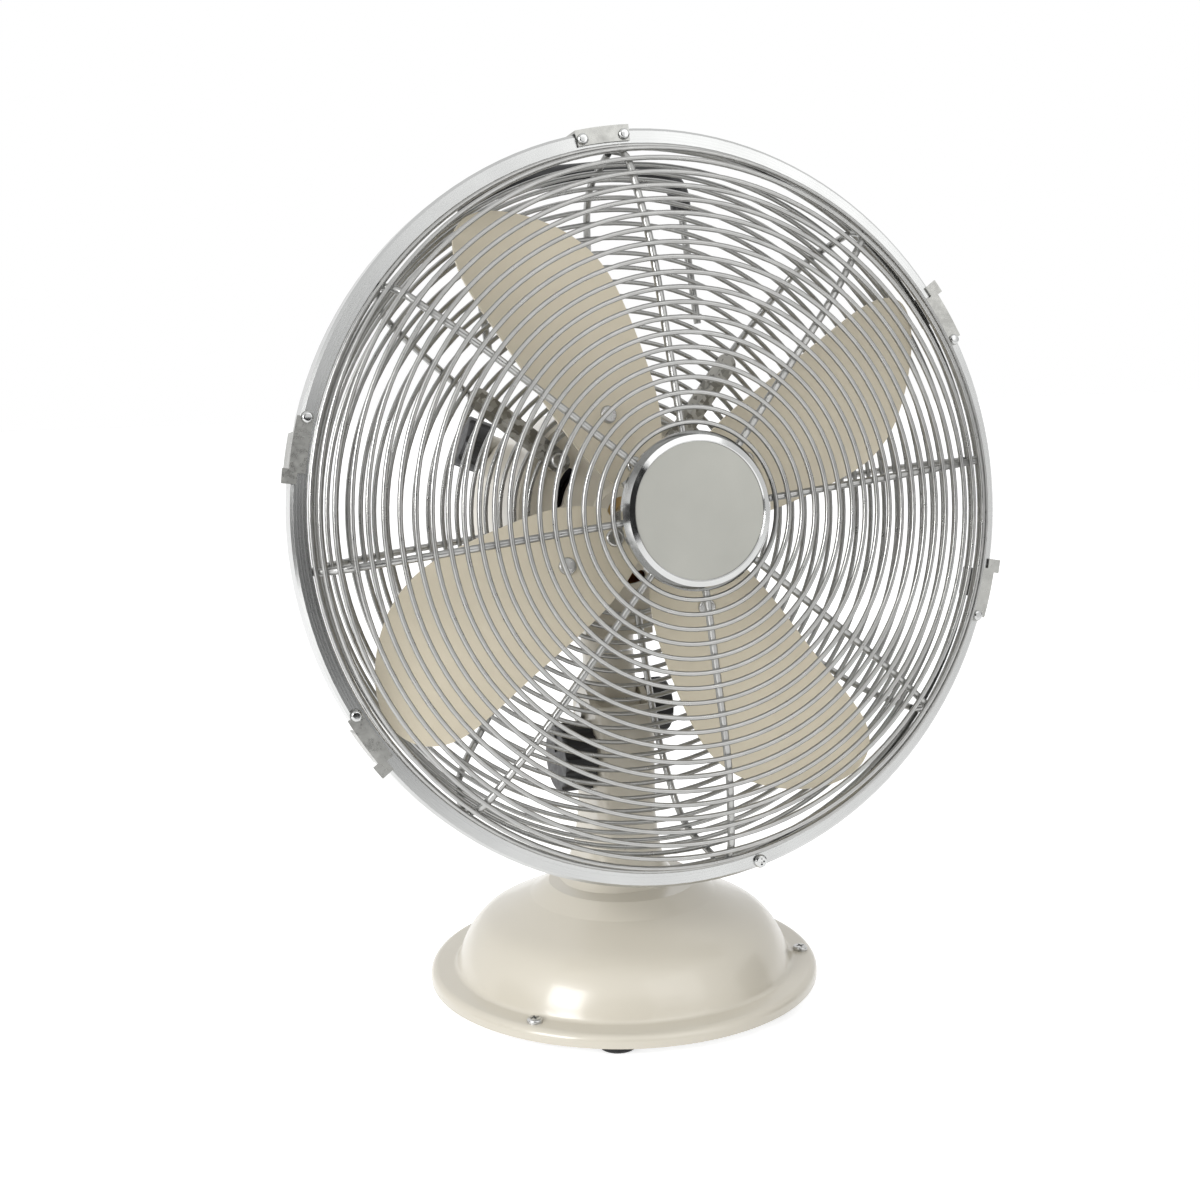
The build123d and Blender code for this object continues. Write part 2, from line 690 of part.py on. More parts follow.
def case_box(shrink, y_extra):
    """Box around the worm and the worm wheel, in the clutch direction."""
    back = WORM_Z - WORM_L / 2 - 3.0 - CASE_WALL
    inner_y = -wheel_offset() - WHEEL_R - 1.0
    box = block(-WORM_R - 1 - CASE_WALL + shrink, WORM_R + 1 + CASE_WALL - shrink,
                inner_y - CASE_WALL + shrink, WORM_R + 1 + CASE_WALL - shrink + y_extra,
                back + shrink, BRACKET_Z - BRACKET_T)
    return Rot(0, 0, CLUTCH_ANGLE) * box


def gear_case():
    """Case of the oscillation gear on the rear bracket, open to the bracket."""
    case = case_box(0.0, 0.0) - case_box(CASE_WALL, 0.0)
    case -= along_clutch(rod(CLUTCH_SPINDLE_R + SEAT_GAP, -40, 40))
    return case


def motor_shaft():
    """Steel shaft from the worm to the hub nut."""
    return rod(SHAFT_R, SHAFT_REAR_Z, SHAFT_FRONT_Z)


def rotor_core():
    """Squirrel-cage rotor with its end rings."""
    z0 = STATOR_FRONT_Z - STATOR_L
    core = rod(STATOR_BORE_R - AIR_GAP, z0, STATOR_FRONT_Z)
    core += tube(STATOR_BORE_R - 3, 14, z0 - 4, STATOR_FRONT_Z + 4)
    return core - rod(SHAFT_R + SHAFT_FIT, z0 - 10, STATOR_FRONT_Z + 10)


def worm():
    """Worm on the rear end of the shaft, its thread drawn as ridges."""
    z0 = WORM_Z - WORM_L / 2
    ridges = 6
    step = WORM_L / ridges
    root = WORM_R - 1.6
    points = [(SHAFT_R + SHAFT_FIT, z0)]
    for i in range(ridges):
        z = z0 + i * step
        points += [(root, z), (WORM_R, z + step * 0.35), (WORM_R, z + step * 0.6), (root, z + step * 0.95)]
    points += [(root, z0 + WORM_L), (SHAFT_R + SHAFT_FIT, z0 + WORM_L)]
    return turned(points)


def worm_wheel():
    """Worm wheel with straight teeth on its spindle, which carries the clutch knob."""
    wheel = rod(WHEEL_R - 1.5, -WHEEL_T / 2, WHEEL_T / 2)
    for i in range(WHEEL_TEETH):
        tooth = block(WHEEL_R - 2.0, WHEEL_R, -0.6, 0.6, -WHEEL_T / 2, WHEEL_T / 2)
        wheel += spin(tooth, i * 360 / WHEEL_TEETH)
    spindle = rod(CLUTCH_SPINDLE_R, -WORM_R - 1 - CASE_WALL - 2, CLUTCH_KNOB_START + CLUTCH_KNOB_L - 8)
    return along_clutch(wheel + spindle)


def oscillation_knob():
    """Fluted pull knob of the oscillation clutch."""
    knob = fluted_knob(CLUTCH_KNOB_R, CLUTCH_KNOB_L, 8)
    knob -= rod(CLUTCH_SPINDLE_R + RUN_FIT, -1, CLUTCH_KNOB_L - 3)
    return along_clutch(Pos(0, 0, CLUTCH_KNOB_START) * knob)


# Blades, in the head frame with the blade along x before it is turned to its place

def blade_outline():
    """Paddle outline of one blade, as points along the span and across it."""
    tip = BLADE_TIP_R
    return [
        (BLADE_ROOT_R, -13.0), (40.0, -24.0), (62.0, -28.5), (tip - 64, -31.0), (tip - 46, -30.5),
        (tip - 30, -25.0), (tip - 15, -13.0), (tip - 5, 1.0), (tip - 0.8, 15.0), (tip - 4, 27.0),
        (tip - 14, 34.0), (tip - 32, 35.0), (tip - 57, 31.0), (64.0, 26.5), (40.0, 21.5), (BLADE_ROOT_R, 13.0),
    ]


def camber_shell(inner, outer, x0, x1):
    """Curved sheet along x between two radii about the camber axis, which lies ahead of the blade."""
    pitch = radians(BLADE_PITCH)
    y = -BLADE_CAMBER_R * sin(pitch)
    z = BLADE_Z + BLADE_CAMBER_R * cos(pitch)
    return rod_x(outer, x0, x1, y, z) - rod_x(inner, x0 - 1, x1 + 1, y, z)


def rivet_frames():
    """Frames of the two rivets of one blade, square to the sheet."""
    pitch = radians(BLADE_PITCH)
    return [
        Plane(origin=(x, 0, BLADE_Z), x_dir=(1, 0, 0), z_dir=(0, -sin(pitch), cos(pitch))).location
        for x in (RIVET_INNER, RIVET_OUTER)
    ]


def fan_blade():
    """One cambered sheet blade."""
    points = blade_outline()
    outline = Wire([Spline(*points), Line(points[-1], points[0])])
    plan = extrude(Pos(0, 0, -40) * make_face(outline), 80)
    half = BLADE_T / 2
    blade = plan & camber_shell(BLADE_CAMBER_R - half, BLADE_CAMBER_R + half, 0, BLADE_TIP_R + 10)
    for frame in rivet_frames():
        blade -= frame * rod(RIVET_R + RUN_FIT, -10, 10)
    return blade


def blade_hub():
    """Hub with four arms behind the blades."""
    half = BLADE_T / 2 + SEAT_GAP / 2
    round_x = ARM_END - ARM_HALF_W
    plan = block(0, round_x, -ARM_HALF_W, ARM_HALF_W, -40, 40) + rod(ARM_HALF_W, -40, 40, round_x)
    arm = plan & camber_shell(BLADE_CAMBER_R + half, BLADE_CAMBER_R + half + ARM_T, -5, ARM_END + 10)
    for frame in rivet_frames():
        arm -= frame * rod(RIVET_R + RUN_FIT, -10, 10)
    hub = rod(HUB_R, HUB_FRONT_Z - HUB_L, HUB_FRONT_Z)
    for i in range(BLADE_COUNT):
        hub += spin(arm, BLADE_PHASE + i * 360 / BLADE_COUNT)
    return hub - rod(SHAFT_R + SHAFT_FIT, -60, 60)


def blade_rivets():
    """Two rivets on each blade."""
    head = 1.4
    front = BLADE_T / 2 + SEAT_GAP
    back = -BLADE_T / 2 - SEAT_GAP / 2 - ARM_T - SEAT_GAP
    rivet = rod(RIVET_R, back, front)
    rivet += fillet(rod(RIVET_HEAD_R, front, front + head).edges().group_by(Axis.Z)[-1], head * 0.8)
    rivet += rod(RIVET_HEAD_R - 0.5, back - head, back)
    frames = rivet_frames()
    return [spin(f * rivet, BLADE_PHASE + i * 360 / BLADE_COUNT) for i in range(BLADE_COUNT) for f in frames]


def hub_nut():
    """Hexagon nut that holds the hub on the shaft."""
    nut = Pos(0, 0, HUB_FRONT_Z) * extrude(RegularPolygon(7.0, 6), 6.0)
    return nut - rod(SHAFT_R + SHAFT_FIT, -20, 60)


# Cage, in the head frame

def front_spoke_path():
    """Centre line of a front spoke in the XZ plane, from under the cap to just past the edge ring."""
    face = FRONT_FACE_Z - SPOKE_OFFSET
    return FilletPolyline(
        (SPOKE_INNER_R, 0, face), (EDGE_RING_R - 46.0, 0, face - 3.2), (EDGE_RING_R - 7.0, 0, face - 15.0),
        (SPOKE_END_R, 0, FRONT_EDGE_Z - SPOKE_OVERRUN), radius=[130.0, 14.0],
    )


def rear_spoke_path():
    """Centre line of a rear spoke in the XZ plane, from inside the first ring to the edge ring."""
    face = REAR_FACE_Z - SPOKE_OFFSET
    return FilletPolyline(
        (REAR_FIRST_R - SPOKE_OVERRUN, 0, face), (REAR_FIRST_R + 56.0, 0, face),
        (EDGE_RING_R - 12.5, 0, face + 15.0), (SPOKE_END_R, 0, REAR_EDGE_Z), radius=[100.0, 30.0],
    )


def ring_places(path, first, count):
    """Radius and height of the ring wires, at an even pitch in front of a spoke from a first radius."""
    start = first - path.position_at(0).X
    pitch = (path.length - RING_END_GAP - start) / (count - 1)
    places = []
    for i in range(count):
        at = path.position_at(start + i * pitch, position_mode=PositionMode.LENGTH)
        along = path.tangent_at(start + i * pitch, position_mode=PositionMode.LENGTH)
        places.append((at.X - along.Z * SPOKE_OFFSET, at.Z + along.X * SPOKE_OFFSET))
    return places


def wire_section(wire_r):
    """Section of a guard wire: flat sides at the wire's radius, one of them square to each axis."""
    return RegularPolygon(wire_r, WIRE_SIDES, major_radius=False, rotation=180 / WIRE_SIDES)


def ring_arc(radius, z, wire_r):
    """Stretch of a ring wire about the fan axis that belongs to the spoke at angle 0."""
    arc = 360 / SPOKE_COUNT
    section = Plane(origin=(radius, 0, z), z_dir=(0, -1, 0)) * wire_section(wire_r)
    return spin(revolve(section, Axis.Z, revolution_arc=arc), -arc / 2)


def wire_spoke(path):
    """Spoke along a path in the XZ plane."""
    along = path % 0
    section = Plane(origin=path @ 0, x_dir=(along.Z, 0, -along.X), z_dir=along) * wire_section(SPOKE_WIRE_R)
    return sweep(section, path=path)


def guard(path, first, count, edge_z):
    """One guard: ring wires, spokes welded behind them and a thicker edge ring, joined from equal sectors."""
    wires = [ring_arc(r, z, RING_WIRE_R) for r, z in ring_places(path, first, count)]
    wires.append(ring_arc(EDGE_RING_R, edge_z, EDGE_WIRE_R))
    sector = wire_spoke(path).fuse(*wires)
    sectors = [spin(sector, SPOKE_PHASE + i * 360 / SPOKE_COUNT) for i in range(SPOKE_COUNT)]
    return sectors[0].fuse(*sectors[1:], glue=True)


def rim_rivet_r():
    """Radius on which the clips, the strap and the safety screw sit on the rim."""
    return RIM_R - 2.7


def rim_band():
    """Rolled rim: outer wall and front lip, with holes for the rivets and the safety screw."""
    lip_z = RIM_FRONT_Z - RIM_WALL
    band = turned([
        (RIM_R, RIM_REAR_Z), (RIM_R, lip_z), (RIM_R - RIM_WALL, RIM_FRONT_Z), (RIM_R - RIM_LIP, RIM_FRONT_Z),
        (RIM_R - RIM_LIP, lip_z), (RIM_R - RIM_WALL, lip_z), (RIM_R - RIM_WALL, RIM_REAR_Z),
    ])
    for angle in rivet_angles() + [SAFETY_ANGLE]:
        x, y = around(rim_rivet_r(), angle)
        band -= rod(CLIP_RIVET_R + SHAFT_FIT, lip_z - 1, RIM_FRONT_Z + 1, x, y)
    return band


def strap_angles():
    """Angles of the two rivets of the top strap."""
    return [STRAP_ANGLE - STRAP_ARC / 2 + 0.9, STRAP_ANGLE + STRAP_ARC / 2 - 0.9]


def rivet_angles():
    """Angles of all rivets on the rim."""
    return list(CLIP_ANGLES) + strap_angles()


def sector(r0, r1, z0, z1, a0, a1):
    """Part of a flat ring between two angles."""
    return spin(turned([(r0, z0), (r1, z0), (r1, z1), (r0, z1)], a1 - a0), a0)


def rim_hook(a0, a1, flange0, flange1):
    """Bent plate on the rim: front plate, side flange past the wall and a hook behind the rear guard."""
    z0 = RIM_FRONT_Z + 2 * SEAT_GAP
    outer = RIM_R + SLIDE_GAP + SEAT_GAP + CLIP_T
    hook = RIM_REAR_Z - SLIDE_GAP
    plate = sector(RIM_R - 5.4, outer, z0, z0 + CLIP_T, a0, a1)
    plate += sector(outer - CLIP_T, outer, hook - CLIP_T, z0 + CLIP_T, flange0, flange1)
    return plate + sector(EDGE_RING_R - 0.5, outer, hook - CLIP_T, hook, flange0 + 1.0, flange1)


def guard_clip(angle):
    """Swing clip with a finger tab at its free end."""
    z0 = RIM_FRONT_Z + 2 * SEAT_GAP
    clip = rim_hook(angle, angle + CLIP_ARC, angle + 2.3, angle + CLIP_ARC)
    outer = RIM_R + SLIDE_GAP + SEAT_GAP + CLIP_T
    clip += sector(RIM_R - 2.0, outer + 2.6, z0, z0 + CLIP_T, angle + CLIP_ARC - 0.5, angle + CLIP_ARC + 1.6)
    x, y = around(rim_rivet_r(), angle)
    clip += rod(2.7, z0, z0 + CLIP_T, x, y)
    return clip - rod(CLIP_RIVET_R + SEAT_GAP, z0 - 1, z0 + CLIP_T + 1, x, y)


def top_strap():
    """Fixed strap at the top, riveted to the rim."""
    z0 = RIM_FRONT_Z + 2 * SEAT_GAP
    a0 = STRAP_ANGLE - STRAP_ARC / 2
    a1 = STRAP_ANGLE + STRAP_ARC / 2
    strap = rim_hook(a0, a1, a0, a1)
    for angle in strap_angles():
        x, y = around(rim_rivet_r(), angle)
        strap -= rod(CLIP_RIVET_R + SEAT_GAP, z0 - 1, z0 + CLIP_T + 1, x, y)
    return strap


def rim_rivets():
    """Rivets of the clips and of the strap."""
    top = RIM_FRONT_Z + 2 * SEAT_GAP + CLIP_T + SEAT_GAP
    head = fillet(rod(CLIP_RIVET_HEAD_R, top, top + 1.4).edges().group_by(Axis.Z)[-1], 1.1)
    rivet = head + rod(CLIP_RIVET_R, RIM_FRONT_Z - RIM_WALL, top)
    return [Pos(*around(rim_rivet_r(), angle), 0) * rivet for angle in rivet_angles()]


def safety_screw():
    """Screw at the bottom of the rim that keeps the guards together."""
    screw = pan_screw(CLIP_RIVET_R - 0.1, 3.0, RIM_FRONT_Z - RIM_REAR_Z + 3.5, 1.8)
    return Pos(*around(rim_rivet_r(), SAFETY_ANGLE), RIM_FRONT_Z) * screw


def safety_nut():
    """Nut with a collar that reaches behind the edge ring of the rear guard."""
    x, y = around(rim_rivet_r(), SAFETY_ANGLE)
    z = RIM_REAR_Z - SEAT_GAP
    nut = rod(4.0, z - 0.8, z, x, y) + Pos(x, y, z - 3.0) * extrude(RegularPolygon(3.0, 6), 2.4)
    return nut - rod(CLIP_RIVET_R - 0.1 + SHAFT_FIT, z - 10, z + 5, x, y)


def cap_seat_z():
    """Front of the spokes under the cap."""
    return FRONT_FACE_Z - SPOKE_OFFSET + SPOKE_WIRE_R


def cap_ring():
    """Bevelled ring of the centre cap, with a shoulder for the badge disc."""
    low = cap_seat_z() + SEAT_GAP
    shoulder = CAP_FRONT_Z - 1.7
    return turned([
        (CAP_DISC_R - 4, low), (CAP_R, low), (CAP_R, low + 2.0), (CAP_R - 1.9, CAP_FRONT_Z - 0.6),
        (CAP_DISC_R + 0.6, CAP_FRONT_Z), (CAP_DISC_R + SEAT_GAP, CAP_FRONT_Z - 0.4),
        (CAP_DISC_R + SEAT_GAP, shoulder), (CAP_DISC_R - 4, shoulder),
    ])


def badge_disc():
    """Plain disc in the cap ring."""
    return rod(CAP_DISC_R, CAP_FRONT_Z - 1.7 + SHAFT_FIT, CAP_FRONT_Z - 0.7)


def cap_screw_spots():
    """Places of the three screws of the cap, between the spokes."""
    return [around(CAP_DISC_R - 2.0, SPOKE_PHASE + 22.5 + 120 * i) for i in range(3)]


def cap_plate_front_z():
    """Front face of the plate behind the spokes."""
    return cap_seat_z() - 2 * SPOKE_WIRE_R - SEAT_GAP


def cap_back_plate():
    """Plate behind the spokes that clamps the cap."""
    front = cap_plate_front_z()
    plate = rod(CAP_PLATE_R, front - 1.2, front)
    for x, y in cap_screw_spots():
        plate -= rod(1.2 + RUN_FIT, front - 3, front + 3, x, y)
    return plate


def cap_screws():
    """Screws from the back plate into the cap ring."""
    back = cap_plate_front_z() - 1.2
    screw = Rot(180, 0, 0) * pan_screw(1.2, 2.4, cap_seat_z() - back + SEAT_GAP, 1.2)
    return [Pos(x, y, back) * screw for x, y in cap_screw_spots()]


def guard_strip():
    """Flat strip from the motor plate to the rear guard, with a raised rib."""
    z0 = strip_back_z()
    half = STRIP_W / 2
    strip = block(STRIP_INNER + half, STRIP_OUTER - half, -half, half, z0, z0 + STRIP_T)
    for x in (STRIP_INNER + half, STRIP_OUTER - half):
        strip += rod(half, z0, z0 + STRIP_T, x)
    strip += block(STRIP_SCREW_PCD_R + 8, STRIP_OUTER - 5, -1.2, 1.2, z0 + STRIP_T - 0.2, z0 + STRIP_T + 0.6)
    return strip - rod(SCREW_R + RUN_FIT, z0 - 2, z0 + 5, STRIP_SCREW_PCD_R)


def strip_screws():
    """Cross-head screws that hold the strips on the motor plate."""
    z = strip_back_z() + STRIP_T
    screw = pan_screw(SCREW_R, SCREW_HEAD_R, z - PLATE_Z + 2.0, SCREW_HEAD_H)
    return [Pos(*around(STRIP_SCREW_PCD_R, angle), z) * screw for angle in strip_angles()]


def rear_back_z(radius):
    """Height of the handle wire where it lies behind the rear rings at a radius."""
    places = ring_places(rear_spoke_path(), REAR_FIRST_R, REAR_RINGS)
    outer = next(i for i, place in enumerate(places) if place[0] >= radius)
    (r0, z0), (r1, z1) = places[outer - 1], places[outer]
    slope = (z1 - z0) / (r1 - r0)
    gap = RING_WIRE_R + HANDLE_WIRE_R + SLIDE_GAP
    return z0 + slope * (radius - r0) - gap * hypot(1, slope)


def handle_side():
    """Points of one side of the handle: lower end of the leg, corner and start of the crown."""
    z = rear_back_z(hypot(HANDLE_HALF_W, HANDLE_LEG_LOW))
    leg = [(HANDLE_HALF_W, y, z) for y in (HANDLE_LEG_LOW, HANDLE_CORNER)]
    return leg + [(HANDLE_CROWN_HALF_W, HANDLE_TOP, z)]


def handle_line(side):
    """Bent line through the points of one side and their mirror images."""
    points = side + [(-x, y, z) for x, y, z in reversed(side)]
    radii = [HANDLE_BEND_R, HANDLE_CROWN_R, HANDLE_CROWN_R, HANDLE_BEND_R]
    return spin(FilletPolyline(*points, radius=radii), HANDLE_PHASE)


def tube_along(path, radius):
    """Round bar along a bent line."""
    return sweep(Plane(origin=path @ 0, z_dir=path % 0) * Circle(radius), path=path)


def handle_wire():
    """Wire bail of the handle, in the plane of the cage's back, its legs held on the rear rings."""
    return tube_along(handle_line(handle_side()), HANDLE_WIRE_R)


def handle_grip():
    """Black sleeve over the middle of the bail and its two corners."""
    corner, crown = handle_side()[1:]
    start = (corner[0], corner[1] - GRIP_DROP, corner[2])
    line = handle_line([start, corner, crown])
    return tube_along(line, GRIP_R) - tube_along(line, HANDLE_WIRE_R + SEAT_GAP)


def build_stand():
    """Write the standing parts and the controls on the column."""
    save("base_shell", base_shell())
    save("base_plate", base_plate())
    save("base_screws", *base_screws())
    save("rubber_feet", *rubber_feet())
    save("cord_grommet", cord_grommet())
    save("column", column())
    save("column_screws", *column_screws())
    save("speed_switch", speed_switch())
    save("run_capacitor", run_capacitor())
    save("tilt_bolt", tilt_bolt())
    save("tilt_knob", tilt_knob())
    save("speed_knob", speed_knob())
    save("switch_spindle", switch_spindle())


def build_head():
    """Write the neck, the motor and the gear."""
    save_head("neck", neck())
    save_head("pivot_pin", pivot_pin())
    save_head("thrust_washer", thrust_washer())
    save_head("motor_mount", motor_mount())
    save_head("motor_front_cover", motor_front_cover())
    save_head("motor_rear_cover", motor_rear_cover())
    save_head("top_plug", top_plug())
    save_head("stator_core", stator_core())
    save_head("stator_windings", *stator_windings())
    save_head("stator_bolts", *stator_bolts())
    save_head("rear_bracket", rear_bracket())
    save_head("front_bush", bush(PLATE_Z + 4.0))
    save_head("rear_bush", bush(BRACKET_Z + BUSH_L - BRACKET_T))
    save_head("gear_case", gear_case())
    save_head("worm_wheel", worm_wheel())
    save_head("oscillation_knob", oscillation_knob())


def build_rotor():
    """Write everything that turns with the shaft."""
    save_head("motor_shaft", motor_shaft())
    save_head("rotor_core", rotor_core())
    save_head("worm", worm())
    save_head("blade_hub", blade_hub())
    save_head("blade_rivets", *blade_rivets())
    save_head("hub_nut", hub_nut())
    blade = fan_blade()
    for i in range(BLADE_COUNT):
        save_head(f"fan_blade_{i + 1}", spin(blade, BLADE_PHASE + i * 360 / BLADE_COUNT))


def build_cage():
    """Write the guards and what is fastened to them."""
    save_head("front_guard", guard(front_spoke_path(), FRONT_FIRST_R, FRONT_RINGS, FRONT_EDGE_Z))
    save_head("rear_guard", guard(rear_spoke_path(), REAR_FIRST_R, REAR_RINGS, REAR_EDGE_Z))
    save_head("rim_band", rim_band())
    for i, angle in enumerate(CLIP_ANGLES):
        save_head(f"guard_clip_{i + 1}", guard_clip(angle))
    save_head("top_strap", top_strap())
    save_head("rim_rivets", *rim_rivets())
    save_head("safety_screw", safety_screw())
    save_head("safety_nut", safety_nut())
    save_head("cap_ring", cap_ring())
    save_head("badge_disc", badge_disc())
    save_head("cap_back_plate", cap_back_plate())
    save_head("cap_screws", *cap_screws())
    strip = guard_strip()
    save_head("guard_strips", *[spin(strip, angle) for angle in strip_angles()])
    save_head("strip_screws", *strip_screws())
    save_head("handle_wire", handle_wire())
    save_head("handle_grip", handle_grip())


os.makedirs("parts", exist_ok=True)
build_stand()
build_head()
build_rotor()
build_cage()
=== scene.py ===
import bpy
import json
from math import cos, radians, sin, tau
from mathutils import Matrix, Vector

# Desk fan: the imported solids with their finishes, a pale floor, soft light and the camera. Units are metres.

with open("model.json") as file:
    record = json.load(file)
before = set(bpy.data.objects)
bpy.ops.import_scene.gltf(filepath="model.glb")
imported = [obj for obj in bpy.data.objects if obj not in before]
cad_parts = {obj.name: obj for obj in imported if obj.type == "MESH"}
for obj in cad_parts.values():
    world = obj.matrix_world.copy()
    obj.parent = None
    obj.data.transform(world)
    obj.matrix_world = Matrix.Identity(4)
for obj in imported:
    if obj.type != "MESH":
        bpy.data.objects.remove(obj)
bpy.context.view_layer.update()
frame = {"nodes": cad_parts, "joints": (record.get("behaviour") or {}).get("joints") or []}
nodes = frame["nodes"]

# Camera, as the photograph was taken, with angles in degrees
IMAGE_PX = 1200
FOCAL_PX = 1610.5
SENSOR_MM = 36.0
CAMERA_AZIMUTH = -20.1
CAMERA_ELEVATION = 9.13
CAMERA_ROLL = -1.05
CAMERA_DISTANCE = 0.7859
CAMERA_TARGET = Vector((-0.00157, 0.0203, 0.18564))
CLIP_START = 0.01
UP = Vector((0, 0, 1))

# Fan axis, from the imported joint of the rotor
spin_joint = next(joint for joint in frame["joints"] if joint["name"] == "spin")
RIM_CENTRE = Vector(spin_joint["pos_m"])
FAN_AXIS = Vector(spin_joint["axis"]).normalized()

# Colours, linear
CREAM = (0.64, 0.60, 0.51)
BEIGE = (0.76, 0.69, 0.54)
BLACK = (0.012, 0.012, 0.013)
WIRE_GREY = (0.41, 0.41, 0.40)
BAND_GREY = (0.53, 0.535, 0.53)
CLIP_GREY = (0.42, 0.42, 0.40)
DISC_GREY = (0.44, 0.44, 0.405)
ZINC = (0.40, 0.40, 0.39)
STEEL = (0.55, 0.55, 0.54)
COPPER = (0.50, 0.20, 0.08)
BRONZE = (0.55, 0.38, 0.18)
IRON = (0.16, 0.16, 0.17)
IVORY = (0.70, 0.68, 0.62)
WHITE = (1.0, 1.0, 1.0, 1.0)

# Stage
FLOOR_SIZE = 6.0
FLOOR_COLOUR = (0.80, 0.80, 0.80)
FLOOR_GLOW = 0.66
FLAG_COLOUR = (0.03, 0.03, 0.03)
WORLD_LIGHT = 0.62
BACKDROP_LIGHT = 1.0
CORNERS = ((-1, -1), (1, -1), (1, 1), (-1, 1))

# Square lights aimed at the camera's target: place, side and power in watts
LIGHTS = {
    "key": ((-1.45, -0.8, 0.78), 0.7, 17.0),
    "fill": ((0.5, -1.5, 1.1), 1.2, 5.0),
}

# Dark cards that face the camera's target: place, width and height
FLAGS = {
    "front_flag": ((-0.6, -2.2, 0.6), 3.2, 1.5),
    "left_flag": ((-1.6, 0.1, 0.2), 1.0, 0.7),
    "right_flag": ((1.7, -0.4, 0.3), 0.9, 0.8),
}

# Shading: edges that bend more than these angles, in degrees, stay sharp
EDGE_ANGLE = 32.0
WIRE_EDGE_ANGLE = 55.0
WELD_DISTANCE = 0.000002

# Textures: the span of a pattern's values that is used, marks and bands
PATTERN_LOW = 0.3
PATTERN_HIGH = 0.7
ROLLING_MARKS_PER_M = 2600.0
TURNING_MARKS_PER_M = 4200.0
LAMINATION_PITCH = 0.002369
WINDING_PITCH = 0.001776
# Radians that Blender's wave texture runs through in one unit at scale 1
WAVE_RADIANS = 20.0

# What each finish covers
PAINTED = ("base_shell", "column", "motor_rear_cover", "motor_front_cover", "neck", "motor_mount")
BLADES = tuple(f"fan_blade_{i}" for i in range(1, 5))
WIRES = ("front_guard", "rear_guard", "handle_wire")
BANDS = ("rim_band",)
CLIPS = ("top_strap",) + tuple(f"guard_clip_{i}" for i in range(1, 5))
POLISHED = ("cap_ring", "rim_rivets", "safety_screw", "safety_nut")
DISCS = ("badge_disc",)
GALVANISED = ("guard_strips", "cap_back_plate", "base_plate", "rear_bracket")
FASTENERS = (
    "base_screws", "column_screws", "strip_screws", "cap_screws", "tilt_bolt", "pivot_pin", "motor_shaft",
    "blade_hub", "blade_rivets", "hub_nut", "switch_spindle", "stator_bolts", "thrust_washer",
)
CORES = ("stator_core", "rotor_core")
WINDINGS = ("stator_windings",)
BEARINGS = ("front_bush", "rear_bush", "worm")
MOULDED = ("speed_knob", "tilt_knob", "oscillation_knob", "top_plug", "handle_grip", "speed_switch")
MOULDED_PALE = ("gear_case", "worm_wheel", "run_capacitor")
RUBBER = ("rubber_feet", "cord_grommet")


